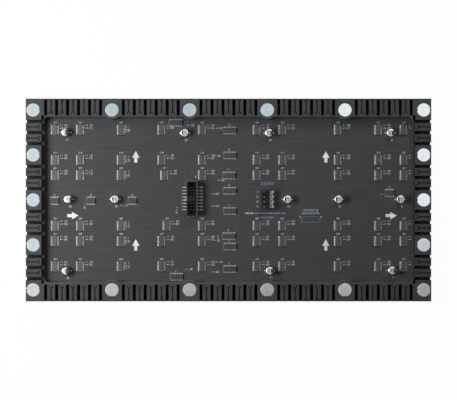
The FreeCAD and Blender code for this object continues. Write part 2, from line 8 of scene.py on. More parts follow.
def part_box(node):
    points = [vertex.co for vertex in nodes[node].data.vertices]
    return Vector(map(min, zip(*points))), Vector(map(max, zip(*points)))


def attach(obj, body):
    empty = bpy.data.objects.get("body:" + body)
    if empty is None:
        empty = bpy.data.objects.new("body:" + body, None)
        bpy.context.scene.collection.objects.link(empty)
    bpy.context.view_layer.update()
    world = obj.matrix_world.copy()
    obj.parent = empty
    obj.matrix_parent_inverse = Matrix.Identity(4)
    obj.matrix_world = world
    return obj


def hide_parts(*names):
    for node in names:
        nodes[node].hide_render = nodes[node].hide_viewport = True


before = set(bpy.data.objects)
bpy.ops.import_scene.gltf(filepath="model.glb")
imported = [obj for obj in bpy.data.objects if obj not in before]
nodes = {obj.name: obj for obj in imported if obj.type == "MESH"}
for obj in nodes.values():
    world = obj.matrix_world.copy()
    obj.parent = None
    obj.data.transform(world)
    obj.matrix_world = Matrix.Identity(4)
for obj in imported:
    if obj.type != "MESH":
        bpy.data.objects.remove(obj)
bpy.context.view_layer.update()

mm = 0.001
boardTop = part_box("circuit_board")[1].z


def log(text):
    print("stage:", text)


# Node material helpers

def newMaterial(name, color, roughness, metallic=0.0):
    material = bpy.data.materials.new(name)
    material.use_nodes = True
    shader = material.node_tree.nodes["Principled BSDF"]
    shader.inputs["Base Color"].default_value = (*color, 1)
    shader.inputs["Roughness"].default_value = roughness
    shader.inputs["Metallic"].default_value = metallic
    material.diffuse_color = (*color, 1)
    return material


def addNode(material, kind, **settings):
    node = material.node_tree.nodes.new(kind)
    for key, setting in settings.items():
        if key in node.inputs:
            node.inputs[key].default_value = setting
        else:
            setattr(node, key, setting)
    return node


def wire(material, fromNode, output, toNode, socket):
    material.node_tree.links.new(fromNode.outputs[output], toNode.inputs[socket])


def shaderOf(material):
    return material.node_tree.nodes["Principled BSDF"]


def toShader(material, fromNode, output, socket):
    wire(material, fromNode, output, shaderOf(material), socket)


def objectPoint(material, stretch=(1, 1, 1)):
    # Object coordinates, stretched where a finish has a direction
    coords = addNode(material, "ShaderNodeTexCoord")
    mapping = addNode(material, "ShaderNodeMapping")
    mapping.inputs["Scale"].default_value = stretch
    wire(material, coords, "Object", mapping, "Vector")
    return mapping


def noiseOn(material, point, scale, detail=3.0, roughness=0.5):
    noise = addNode(material, "ShaderNodeTexNoise")
    noise.inputs["Scale"].default_value = scale
    noise.inputs["Detail"].default_value = detail
    noise.inputs["Roughness"].default_value = roughness
    wire(material, point, "Vector", noise, "Vector")
    return noise


def setStops(ramp, stops):
    elements = ramp.color_ramp.elements
    while len(elements) < len(stops):
        elements.new(0.5)
    for element, (position, color) in zip(elements, stops):
        element.position = position
        element.color = (*color, 1)


def rampOf(material, source, stops, output="Fac"):
    ramp = addNode(material, "ShaderNodeValToRGB")
    setStops(ramp, stops)
    wire(material, source, output, ramp, "Fac")
    return ramp


def bumpFrom(material, source, output, strength, distance, before=None):
    bump = addNode(material, "ShaderNodeBump")
    bump.inputs["Strength"].default_value = strength
    bump.inputs["Distance"].default_value = distance
    wire(material, source, output, bump, "Height")
    if before:
        wire(material, before, "Normal", bump, "Normal")
    return bump


def grey(value):
    return (value, value, value)


def rubberFinish():
    finish = {"dark": (0.052, 0.053, 0.055), "pale": (0.068, 0.069, 0.071), "roughness": 0.62,
              "reach": 0.0035, "creaseShade": 0.22, "edge": 0.0005}  # Painted shade: an occlusion mask darkens deep slots and grooves
    material = newMaterial("mouldedRubber", finish["dark"], finish["roughness"])
    point = objectPoint(material)
    cloud = noiseOn(material, point, 55, 4)
    tone = rampOf(material, cloud, [(0.3, finish["dark"]), (0.75, finish["pale"])])
    # Painted shade: ambient occlusion multiplies the rubber's colour down in slots, grooves and recesses
    deep = addNode(material, "ShaderNodeAmbientOcclusion", only_local=True, samples=8)
    deep.inputs["Distance"].default_value = finish["reach"]
    shade = rampOf(material, deep, [(0.4, grey(finish["creaseShade"])), (0.97, grey(1))], output="AO")
    creaseShaded = addNode(material, "ShaderNodeMix", data_type="RGBA", blend_type="MULTIPLY")
    creaseShaded.inputs["Factor"].default_value = 1
    wire(material, tone, "Color", creaseShaded, "A")
    wire(material, shade, "Color", creaseShaded, "B")
    toShader(material, creaseShaded, "Result", "Base Color")
    grain = noiseOn(material, point, 2600, 2)
    soft = noiseOn(material, point, 240, 3)
    rough = rampOf(material, soft, [(0.3, grey(0.52)), (0.8, grey(0.72))])
    toShader(material, rough, "Color", "Roughness")
    edge = addNode(material, "ShaderNodeBevel", samples=6)
    edge.inputs["Radius"].default_value = finish["edge"]
    coarse = bumpFrom(material, soft, "Fac", 0.12, 0.0002, before=edge)
    fine = bumpFrom(material, grain, "Fac", 0.25, 0.00004, before=coarse)
    toShader(material, fine, "Normal", "Normal")
    shaderOf(material).inputs["Specular IOR Level"].default_value = 0.14
    return material


def boardFinish():
    # Black solder mask: fine straight traces along and across show as faint relief
    finish = {"base": (0.060, 0.061, 0.064), "trace": (0.067, 0.068, 0.071), "roughness": 0.42}
    material = newMaterial("solderMask", finish["base"], finish["roughness"])
    masks = []
    for stretch, seed in (((0.03, 1, 1), 0.0), ((1, 0.03, 1), 0.37)):
        point = objectPoint(material, stretch)
        point.inputs["Location"].default_value = (seed, seed, 0)
        masks.append(noiseOn(material, point, 900, 1, 0.3))
    both = addNode(material, "ShaderNodeMix", data_type="FLOAT")
    region = noiseOn(material, objectPoint(material), 28, 1)
    regionStep = rampOf(material, region, [(0.60, grey(0)), (0.66, grey(1))])
    wire(material, regionStep, "Color", both, "Factor")
    wire(material, masks[0], "Fac", both, "A")
    wire(material, masks[1], "Fac", both, "B")
    lines = rampOf(material, both, [(0.52, grey(0)), (0.56, grey(1))], output="Result")
    tone = addNode(material, "ShaderNodeMix", data_type="RGBA")
    tone.inputs["A"].default_value = (*finish["base"], 1)
    tone.inputs["B"].default_value = (*finish["trace"], 1)
    wire(material, lines, "Color", tone, "Factor")
    toShader(material, tone, "Result", "Base Color")
    cloud = noiseOn(material, objectPoint(material), 120, 3)
    rough = rampOf(material, cloud, [(0.25, grey(0.36)), (0.8, grey(0.5))])
    toShader(material, rough, "Color", "Roughness")
    relief = bumpFrom(material, lines, "Color", 0.35, 0.00003)
    toShader(material, relief, "Normal", "Normal")
    shaderOf(material).inputs["Specular IOR Level"].default_value = 0.12
    return material


def nickelFinish(name, color, roughness):
    material = newMaterial(name, color, roughness, 1.0)
    point = objectPoint(material)
    cloud = noiseOn(material, point, 260, 4, 0.6)
    shade = [max(0.0, channel * 0.86) for channel in color]
    tone = rampOf(material, cloud, [(0.3, shade), (0.7, color)])
    toShader(material, tone, "Color", "Base Color")
    hair = noiseOn(material, objectPoint(material, (1, 0.06, 1)), 1500, 2)
    rough = rampOf(material, hair, [(0.35, grey(roughness * 0.8)), (0.75, grey(min(1.0, roughness * 1.35)))])
    toShader(material, rough, "Color", "Roughness")
    relief = bumpFrom(material, hair, "Fac", 0.12, 0.00002)
    toShader(material, relief, "Normal", "Normal")
    return material


def metalFinish(name, color, roughness, scale=900):
    material = newMaterial(name, color, roughness, 1.0)
    cloud = noiseOn(material, objectPoint(material), scale, 3)
    low = [channel * 0.8 for channel in color]
    tone = rampOf(material, cloud, [(0.3, low), (0.7, color)])
    toShader(material, tone, "Color", "Base Color")
    rough = rampOf(material, cloud, [(0.3, grey(roughness * 1.3)), (0.7, grey(roughness * 0.8))])
    toShader(material, rough, "Color", "Roughness")
    relief = bumpFrom(material, cloud, "Fac", 0.2, 0.00003)
    toShader(material, relief, "Normal", "Normal")
    return material


def plasticFinish(name, color, roughness, grain=1800, relief=0.3, specular=0.5):
    material = newMaterial(name, color, roughness)
    point = objectPoint(material)
    cloud = noiseOn(material, point, grain / 6, 3)
    low = [channel * 0.75 for channel in color]
    high = [min(1.0, channel * 1.2) for channel in color]
    tone = rampOf(material, cloud, [(0.3, low), (0.7, high)])
    toShader(material, tone, "Color", "Base Color")
    rough = rampOf(material, cloud, [(0.3, grey(roughness * 0.85)), (0.7, grey(min(1.0, roughness * 1.15)))])
    toShader(material, rough, "Color", "Roughness")
    fine = bumpFrom(material, noiseOn(material, point, grain, 2), "Fac", relief, 0.00003)
    toShader(material, fine, "Normal", "Normal")
    shaderOf(material).inputs["Specular IOR Level"].default_value = specular
    return material


finishes = {
    "rubber": rubberFinish(),
    "board": boardFinish(),
    "tin": metalFinish("tinnedLead", (0.62, 0.61, 0.60), 0.46),
    "solder": metalFinish("solderFillet", (0.46, 0.46, 0.46), 0.42),
    "padTin": metalFinish("padTin", (0.30, 0.33, 0.40), 0.45),
    "gold": metalFinish("goldFlash", (0.52, 0.50, 0.46), 0.35),
    "magnet": nickelFinish("nickelPlate", (0.90, 0.91, 0.92), 0.065),
    # Darker, rougher nickel for the magnet rims: painted shade that holds down the lamp's highlight
    "shadedMagnetRim": metalFinish("shadedMagnetRim", (0.42, 0.44, 0.45), 0.5),
    "can": metalFinish("drawnAluminium", (0.92, 0.93, 0.93), 0.25, 500),
    "canTop": metalFinish("canTopAluminium", (0.66, 0.62, 0.60), 0.4, 700),
    "canInk": plasticFinish("canInk", (0.10, 0.10, 0.11), 0.5),
    # Black for the cans' printed segment and for painted shadow on their rims and walls
    "canMarkAndShadow": plasticFinish("canMarkInkAndShadow", (0.012, 0.012, 0.013), 0.45),
    "chip": plasticFinish("mouldedChip", (0.024, 0.024, 0.0235), 0.42, 2600, 0.3, 0.9),
    "bufferChip": plasticFinish("mouldedDarkChip", (0.046, 0.046, 0.046), 0.5, 2600, 0.3, 0.35),
    "chipDot": plasticFinish("chipDot", (0.06, 0.06, 0.06), 0.4),
    "moulded": plasticFinish("mouldedBlack", (0.010, 0.010, 0.011), 0.42, 1500),
    "shroud": plasticFinish("shroudBlack", (0.006, 0.006, 0.006), 0.5, 1500, specular=0.2),
    # Grey for a strip on the shroud's right wall top: a painted highlight
    "paintedShroudHighlight": plasticFinish("paintedShroudHighlight", (0.075, 0.076, 0.078), 0.5),
    # Lighter rubber for the frame's lip strip: a painted highlight
    "paintedRubberEdgeHighlight": plasticFinish("paintedRubberEdgeHighlight", (0.095, 0.096, 0.098), 0.6, 1500, specular=0.15),
    "resistor": plasticFinish("resistorGlaze", (0.018, 0.018, 0.02), 0.3),
    "ceramic": plasticFinish("capacitorCeramic", (0.22, 0.20, 0.18), 0.5),
    "print": plasticFinish("boardPrint", (0.58, 0.60, 0.62), 0.6, 900, 0.2),
    "dimPrint": plasticFinish("boardPrintDim", (0.34, 0.37, 0.46), 0.6, 900, 0.2),
    "arrowPaint": plasticFinish("arrowPaint", (0.86, 0.92, 0.96), 0.6, 900, 0.2),
    "mask": plasticFinish("maskBlack", (0.012, 0.012, 0.013), 0.7),
    "lampBody": plasticFinish("lampBody", (0.03, 0.03, 0.032), 0.5),
    "lampLens": plasticFinish("lampLens", (0.62, 0.61, 0.55), 0.25),
}
log("finishes")


# Mesh helpers: a form is a list of points, faces and the finish number of each face

def emptyForm():
    return {"points": [], "faces": [], "slots": []}


def addFaces(form, points, faces, slot=0):
    start = len(form["points"])
    form["points"].extend(Vector(point) for point in points)
    form["faces"].extend([tuple(start + index for index in face) for face in faces])
    form["slots"].extend([slot] * len(faces))


def addForm(form, other, matrix=None):
    start = len(form["points"])
    moved = [matrix @ point for point in other["points"]] if matrix else other["points"]
    form["points"].extend(moved)
    form["faces"].extend([tuple(start + index for index in face) for face in other["faces"]])
    form["slots"].extend(other["slots"])


def bevelledBlock(low, high, bevel, slot=0, taper=(0.0, 0.0)):
    # A soft-edged block between two corners, its top drawn in by the taper
    mesh = bmesh.new()
    bmesh.ops.create_cube(mesh, size=1)
    low, high = Vector(low), Vector(high)
    middle, span = (low + high) / 2, high - low
    for vert in mesh.verts:
        top = vert.co.z > 0
        point = Vector([vert.co[axis] * span[axis] for axis in range(3)])
        if top:
            point.x -= math.copysign(taper[0], point.x)
            point.y -= math.copysign(taper[1], point.y)
        vert.co = point + middle
    if bevel:
        bmesh.ops.bevel(mesh, geom=mesh.edges[:], offset=bevel, segments=1, affect="EDGES", profile=0.5)
    form = emptyForm()
    mesh.verts.index_update()
    addFaces(form, [vert.co.copy() for vert in mesh.verts],
             [tuple(vert.index for vert in face.verts) for face in mesh.faces], slot)
    mesh.free()
    return form


corners = ((-1, -1), (1, -1), (1, 1), (-1, 1))


def squareWalls(lower, upper):
    # The four sides between two rings of four points, given by their first numbers
    return [(lower + corner, lower + (corner + 1) % 4, upper + (corner + 1) % 4, upper + corner)
            for corner in range(4)]


def flipped(faces):
    return [(face[0], *reversed(face[1:])) for face in faces]


def lathe(profile, steps, slot=0):
    # Turns (radius, height) points round Z; the first and last may lie on the axis
    form = emptyForm()
    points, faces, rings = [], [], []
    for radius, height in profile:
        if radius == 0:
            rings.append([len(points)])
            points.append((0, 0, height))
        else:
            rings.append(list(range(len(points), len(points) + steps)))
            for step in range(steps):
                angle = 2 * math.pi * step / steps
                points.append((radius * math.cos(angle), radius * math.sin(angle), height))
    for lower, upper in zip(rings, rings[1:]):
        for step in range(steps):
            after = (step + 1) % steps
            if len(lower) == 1:
                faces.append((lower[0], upper[after], upper[step]))
            elif len(upper) == 1:
                faces.append((lower[step], lower[after], upper[0]))
            else:
                faces.append((lower[step], lower[after], upper[after], upper[step]))
    addFaces(form, points, faces, slot)
    return form


def bentBar(path, width, thickness, slot=0):
    # A flat strip bent along (x, z) points, its width along Y
    form = emptyForm()
    path = [Vector((x, 0, z)) for x, z in path]
    points, faces = [], []
    for index, here in enumerate(path):
        before = path[max(index - 1, 0)]
        after = path[min(index + 1, len(path) - 1)]
        forward = (here - before).normalized() if index else (after - here).normalized()
        onward = (after - here).normalized() if index < len(path) - 1 else forward
        along = (forward + onward).normalized()
        normal = Vector((-along.z, 0, along.x))
        reach = thickness / 2 / max(0.4, normal.dot(Vector((-forward.z, 0, forward.x))))
        for side, up in corners:
            points.append(here + normal * reach * up + Vector((0, side * width / 2, 0)))
    last = (len(path) - 1) * 4
    for base in range(0, last, 4):
        faces += flipped(squareWalls(base, base + 4))
    faces += [(0, 1, 2, 3), (last + 3, last + 2, last + 1, last)]
    addFaces(form, points, faces, slot)
    return form


def turned(x, y, z, quarter=0.0):
    return Matrix.Translation((x, y, z)) @ Matrix.Rotation(quarter, 4, "Z")


def makePiece(name, form, finishNames, replaced=(), smoothAngle=None):
    mesh = bpy.data.meshes.new(name)
    mesh.from_pydata([tuple(point) for point in form["points"]], [], form["faces"])
    for finishName in finishNames:
        mesh.materials.append(finishes[finishName])
    mesh.polygons.foreach_set("material_index", form["slots"])
    if smoothAngle:
        mesh.shade_smooth()
        mesh.set_sharp_from_angle(angle=math.radians(smoothAngle))
    mesh.validate()
    mesh.update()
    piece = bpy.data.objects.new(name, mesh)
    bpy.context.scene.collection.objects.link(piece)
    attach(piece, "root")
    if replaced:
        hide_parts(*replaced)
    return piece


def solidsOf(nodeName):
    # The boxes of a node's separate solids, each with the mean of its corner points
    mesh = bmesh.new()
    mesh.from_mesh(nodes[nodeName].data)
    bmesh.ops.remove_doubles(mesh, verts=mesh.verts[:], dist=1e-6)
    seen, boxes = set(), []
    for first in mesh.verts:
        if first in seen:
            continue
        queue, island = [first], []
        seen.add(first)
        while queue:
            vert = queue.pop()
            island.append(vert.co.copy())
            for edge in vert.link_edges:
                other = edge.other_vert(vert)
                if other not in seen:
                    seen.add(other)
                    queue.append(other)
        low = Vector([min(point[axis] for point in island) for axis in range(3)])
        high = Vector([max(point[axis] for point in island) for axis in range(3)])
        mean = sum(island, Vector()) / len(island)
        boxes.append((low, high, mean))
    mesh.free()
    return sorted(boxes, key=lambda box: (round(box[0].x, 5), round(box[0].y, 5)))


def dressNode(nodeName, finishName, bevel=0.0):
    # A CAD part whose shape is right keeps it, with soft edges and its finish
    part = nodes[nodeName]
    if not part.material_slots:
        part.data.materials.append(None)
    for materialSlot in part.material_slots:
        materialSlot.material = finishes[finishName]
    if bevel:
        soft = part.modifiers.new("softEdges", "BEVEL")
        soft.width = bevel
        soft.segments = 2
        soft.limit_method = "ANGLE"
        soft.angle_limit = math.radians(40)


# Hidden LED side: mask with square windows and a lamp in each window

def ledFace():
    face = {"pitch": 2.0, "window": 1.56, "depth": 1.2, "lamp": 1.46, "rise": 1.28, "front": 0.32,
            "lens": 1.06, "drawn": 0.9, "sunk": 0.42, "back": 0.002, "tiles": 4}
    low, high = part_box("led_mask")
    span = high - low
    columns = round(span.x / (face["pitch"] * mm))
    rows = round(span.y / (face["pitch"] * mm))
    stepX, stepY = span.x / columns, span.y / rows
    window, lamp, lens = (face[key] * mm / 2 for key in ("window", "lamp", "lens"))
    squares = ((lamp, face["rise"]), (lamp, face["front"]), (lens, face["front"]),
               (lens * face["drawn"], face["sunk"]))  # Half sides and depths of a lamp
    tileWidth = columns // face["tiles"]
    for tile in range(face["tiles"]):
        maskForm, lampForm = emptyForm(), emptyForm()
        for column in range(tile * tileWidth, (tile + 1) * tileWidth):
            for row in range(rows):
                x, y = low.x + (column + 0.5) * stepX, low.y + (row + 0.5) * stepY
                points = [(x + sx * stepX / 2, y + sy * stepY / 2, low.z) for sx, sy in corners]
                points += [(x + sx * window, y + sy * window, low.z + deep * mm)
                           for deep in (0, face["depth"]) for sx, sy in corners]
                addFaces(maskForm, points, flipped(squareWalls(0, 4) + squareWalls(4, 8)))
                points = [(x + sx * half, y + sy * half, low.z + height * mm)
                          for half, height in squares for sx, sy in corners]
                addFaces(lampForm, points, squareWalls(0, 4) + squareWalls(4, 8) + squareWalls(8, 12))
                addFaces(lampForm, points[12:], [(0, 3, 2, 1)], 1)
        left, right = low.x + tile * tileWidth * stepX, low.x + (tile + 1) * tileWidth * stepX
        edges = [((left, low.y), (right, low.y)), ((right, high.y), (left, high.y))]
        if tile == 0:
            edges.append(((low.x, high.y), (low.x, low.y)))
        if tile == face["tiles"] - 1:
            edges.append(((high.x, low.y), (high.x, high.y)))
        for start, end in edges:
            side = [(*start, low.z), (*end, low.z), (*end, high.z), (*start, high.z)]
            addFaces(maskForm, side, [(0, 1, 2, 3)])
        back = high.z - face["back"] * mm
        outline = ((left, low.y), (right, low.y), (right, high.y), (left, high.y))
        addFaces(maskForm, [(*point, back) for point in outline], [(0, 1, 2, 3)])
        number = tile + 1
        makePiece(f"ledMaskTile{number}", maskForm, ["mask"], ["led_mask"])
        makePiece(f"ledLampTile{number}", lampForm, ["lampBody", "lampLens"], ["lamp_rows"])
    log("LED face")


# The recess keeps a thin lip strip along its bottom and right walls and round their magnet seats, lighter
# than the rubber: a painted highlight on the edges that face the light

def frameLip():
    lip = {"reach": 0.6, "drop": 0.12, "deep": 1.2, "lift": 0.01, "facing": 0.15,
           "bottom": (-68, -50), "bottomHalf": 148, "right": (130, 147), "rightHalf": 68}
    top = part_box("rubber_frame")[1].z
    mesh = bmesh.new()
    mesh.from_mesh(nodes["rubber_frame"].data)
    bmesh.ops.remove_doubles(mesh, verts=mesh.verts[:], dist=1e-6)
    mesh.normal_update()
    lines, facing = [], {}
    for line in mesh.edges:
        if len(line.link_faces) != 2 or min(vert.co.z for vert in line.verts) < top - 0.01 * mm:
            continue
        flat = [face for face in line.link_faces if face.normal.z > 0.99]
        walls = [face.normal.copy() for face in line.link_faces if abs(face.normal.z) < 0.1]
        if not flat or not walls:
            continue
        middle, wall = (line.verts[0].co + line.verts[1].co) / 2 / mm, walls[0]
        bottom = wall.y > lip["facing"] and lip["bottom"][0] < middle.y < lip["bottom"][1]
        right = wall.x < -lip["facing"] and lip["right"][0] < middle.x < lip["right"][1]
        if bottom and abs(middle.x) < lip["bottomHalf"] or right and abs(middle.y) < lip["rightHalf"]:
            lines.append(line)
            for vert in line.verts:
                facing[vert.index] = facing.get(vert.index, Vector()) + wall
    form = emptyForm()
    up = Vector((0, 0, mm))
    for line in lines:
        points = []
        for vert in line.verts:
            out = facing[vert.index].normalized() * lip["reach"] * mm
            points += [vert.co + up * lip["lift"], vert.co + out - up * lip["drop"],
                       vert.co - up * lip["deep"]]
        addFaces(form, points, [(0, 1, 4, 3), (1, 2, 5, 4)])
    mesh.free()
    # The strip takes the lighter rubber: painted highlight
    makePiece("frameLip", form, ["paintedRubberEdgeHighlight"])
    log(f"frame lip of {len(lines)} lines")


# Magnets: nickel discs with a rounded rim, one piece for each seat

def notched(form, angles, radius):
    # Small bites in the rim where the moulding holds the disc
    notch = {"deep": 0.75, "half": 8, "inside": 0.9}
    cut = {"points": [], "faces": form["faces"], "slots": form["slots"]}
    for point in form["points"]:
        reach = point.xy.length
        turn = math.degrees(math.atan2(point.y, point.x)) % 360
        near = min((abs((turn - angle + 180) % 360 - 180) for angle in angles), default=180)
        bite = notch["deep"] * mm * max(0.0, 1 - near / notch["half"])
        share = (reach - bite) / reach if reach > radius * notch["inside"] else 1.0
        cut["points"].append(Vector((point.x * share, point.y * share, point.z)))
    return cut


def magnetDiscs():
    disc = {"rim": 0.35, "guard": 0.06, "steps": 72, "rings": 4}
    strips = {"magnets_bottom_row": (270,), "magnets_top_row": (), "magnets_left_column": (5, 185),
              "magnets_right_column": (0, 180)}
    low, high, _ = solidsOf("magnets_bottom_row")[0]
    radius, height = (high.x - low.x) / 2, high.z - low.z
    rim = disc["rim"] * mm
    profile = [(0, 0), (radius - rim - disc["guard"] * mm, 0), (radius - rim, 0)]
    for step in range(1, disc["rings"] + 1):
        angle = step / disc["rings"] * math.pi / 2
        profile.append((radius - rim + rim * math.sin(angle), rim - rim * math.cos(angle)))
    profile += [(r, height - z) for r, z in reversed(profile)]
    form = lathe(profile, disc["steps"])
    rings = len(profile) - 1
    # The rounded rim and side take the darker nickel, a painted shade; the flat faces and their guard rings
    # keep the bright nickel
    form["slots"] = [int(2 <= index // disc["steps"] < rings - 2) for index in range(len(form["faces"]))]
    number = 0
    for strip, notches in strips.items():
        cut = notched(form, notches, radius)
        for low, high, _ in solidsOf(strip):
            number += 1
            centre = (low + high) / 2
            piece = makePiece(f"magnetDisc{number:02d}", cut, ["magnet", "shadedMagnetRim"],
                              smoothAngle=35)
            piece.location = (centre.x, centre.y, low.z)
            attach(piece, "root")
            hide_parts(strip)
    log("magnets")


# Chips: a moulded body with a parting line, and gull-wing leads on solder pads

def chipBody(size, height, dot, draft):
    body = {"parting": 0.5, "step": 0.06, "dotEdge": (0.6, 0.8), "dotRise": (0.004, 0.002, 0.001),
            "dotIn": 0.8, "dotSteps": 20}
    form = emptyForm()
    half = Vector((size[0] / 2, size[1] / 2))
    middle, step = height * body["parting"], body["step"] * mm
    inner = half - Vector((step, step))
    addForm(form, bevelledBlock((-half.x, -half.y, middle), (half.x, half.y, height), step,
                                taper=(draft, step)))
    addForm(form, bevelledBlock((-inner.x, -inner.y, 0), (inner.x, inner.y, middle), 0))
    rings = [height + rise * mm for rise in body["dotRise"]]
    dimple = lathe(list(zip((dot, dot * body["dotIn"], 0), rings)), body["dotSteps"], 1)
    left, top = (edge * mm for edge in body["dotEdge"])
    addForm(form, dimple, Matrix.Translation((-half.x + draft + left, half.y - top, 0)))
    return form


def gullLead(reach, bodyEdge, width, foot, drop, thick):
    # Leads leave the body side, bend down and end in a flat foot on the board
    lead = {"inside": 0.1, "shoulder": 0.18, "bend": 0.32, "fall": 0.12, "heel": 0.06, "heelRise": 0.9,
            "sole": 0.1}
    heel, sole = reach - foot - lead["heel"] * mm, reach - foot + lead["sole"] * mm
    path = [(bodyEdge - lead["inside"] * mm, drop), (bodyEdge + lead["shoulder"] * mm, drop),
            (bodyEdge + lead["bend"] * mm, drop - lead["fall"] * mm),
            (heel, thick * lead["heelRise"]), (sole, thick / 2), (reach, thick / 2)]
    return bentBar(path, width, thick)


def chipSet(chipNodes, leadNodes, kind, name):
    joint = {"thick": 0.16, "exit": 0.48, "padIn": 0.75, "padShort": 0.002, "padHigh": 0.035}
    for number, (chipNode, leadNode) in enumerate(zip(chipNodes, leadNodes), 1):
        bodies, leads = emptyForm(), emptyForm()
        for low, high, _ in solidsOf(chipNode):
            span = high - low
            upright = span.y > span.x
            length, width = (span.y, span.x) if upright else (span.x, span.y)
            centre = (low + high) / 2
            quarter = 0.0 if upright else math.pi / 2
            body = chipBody((width, length), span.z, kind["dot"] * mm, kind["draft"] * mm)
            addForm(bodies, body, turned(centre.x, centre.y, low.z, quarter))
            foot = turned(centre.x, centre.y, boardTop, quarter)
            end = kind["span"] / 2
            lead = gullLead(end * mm, width / 2, kind["lead"] * mm, kind["foot"] * mm,
                            low.z - boardTop + span.z * joint["exit"], joint["thick"] * mm)
            pad = bevelledBlock(((end - joint["padIn"]) * mm, -kind["pad"] / 2 * mm, 0),
                                ((end - joint["padShort"]) * mm, kind["pad"] / 2 * mm, joint["padHigh"] * mm),
                                0, slot=1)
            count = kind["leads"] // 2
            for side in (0.0, math.pi):
                for index in range(count):
                    along = (index - (count - 1) / 2) * kind["pitch"] * mm
                    spot = foot @ Matrix.Rotation(side, 4, "Z") @ Matrix.Translation((0, along, 0))
                    addForm(leads, lead, spot)
                    addForm(leads, pad, spot)
        makePiece(f"{name}Bodies{number}", bodies, [kind["finish"], "chipDot"], [chipNode])
        makePiece(f"{name}Leads{number}", leads, ["tin", "solder"], [leadNode])


def allChips():
    driver = {"leads": 24, "pitch": 0.635, "lead": 0.27, "span": 6.0, "foot": 0.6, "pad": 0.36, "dot": 0.32,
              "draft": 0.34, "finish": "chip"}
    buffer = {"leads": 16, "pitch": 1.27, "lead": 0.42, "span": 6.0, "foot": 0.65, "pad": 0.6, "dot": 0.4,
              "draft": 0.2, "finish": "bufferChip"}
    switch = {"leads": 20, "pitch": 0.65, "lead": 0.25, "span": 6.4, "foot": 0.6, "pad": 0.36, "dot": 0.3,
              "draft": 0.25, "finish": "bufferChip"}
    bodyNodes = [f"driver_chips_row_{row}" for row in range(1, 7)]
    leadNodes = [f"driver_leads_row_{row}" for row in range(1, 7)]
    chipSet(bodyNodes, leadNodes, driver, "driver")
    chipSet(["buffer_chips"], ["buffer_leads"], buffer, "buffer")
    chipSet(["row_switch_chips"], ["row_switch_leads"], switch, "rowSwitch")
    log("chips")


# Printed lines and plain numbers, a hair above what they are printed on

printTop = boardTop + 0.03 * mm
digitStrokes = {
    "0": "abcdef", "1": "bc", "2": "abged", "3": "abgcd", "4": "fgbc",
    "5": "afgcd", "6": "afgedc", "7": "abc", "8": "abcdefg", "9": "abcdfg",
}
strokeEnds = {
    "a": ((0, 1), (1, 1)), "b": ((1, 0.5), (1, 1)), "c": ((1, 0), (1, 0.5)), "d": ((0, 0), (1, 0)),
    "e": ((0, 0), (0, 0.5)), "f": ((0, 0.5), (0, 1)), "g": ((0, 0.5), (1, 0.5)),
}


def stroke(form, start, end, width, slot=0, level=printTop):
    # One flat printed line between two points
    start, end = Vector((*start, 0)), Vector((*end, 0))
    along = (end - start).normalized() * width / 2
    across = Vector((-along.y, along.x, 0))
    outline = [start - along - across, end + along - across, end + along + across, start - along + across]
    addFaces(form, [(point.x, point.y, level) for point in outline], [(0, 1, 2, 3)], slot)


def bars(form, left, right, y, spread, width, slot=0):
    # Three short printed lines, one above another
    for line in (-spread, 0.0, spread):
        stroke(form, (left, y + line), (right, y + line), width, slot)


def digits(form, number, x, y, height, turn=0.0, slot=0, level=printTop):
    # Plain numbers of straight strokes, centred on a point
    letter = {"width": 0.54, "gap": 0.24, "line": 0.19}
    width, step = height * letter["width"], height * (letter["width"] + letter["gap"])
    total = step * len(number) - height * letter["gap"]
    cos, sin = math.cos(turn), math.sin(turn)
    for index, sign in enumerate(number):
        for name in digitStrokes[sign]:
            ends = []
            for px, py in strokeEnds[name]:
                dx, dy = index * step - total / 2 + px * width, (py - 0.5) * height
                ends.append((x + dx * cos - dy * sin, y + dx * sin + dy * cos))
            stroke(form, ends[0], ends[1], height * letter["line"], slot, level)
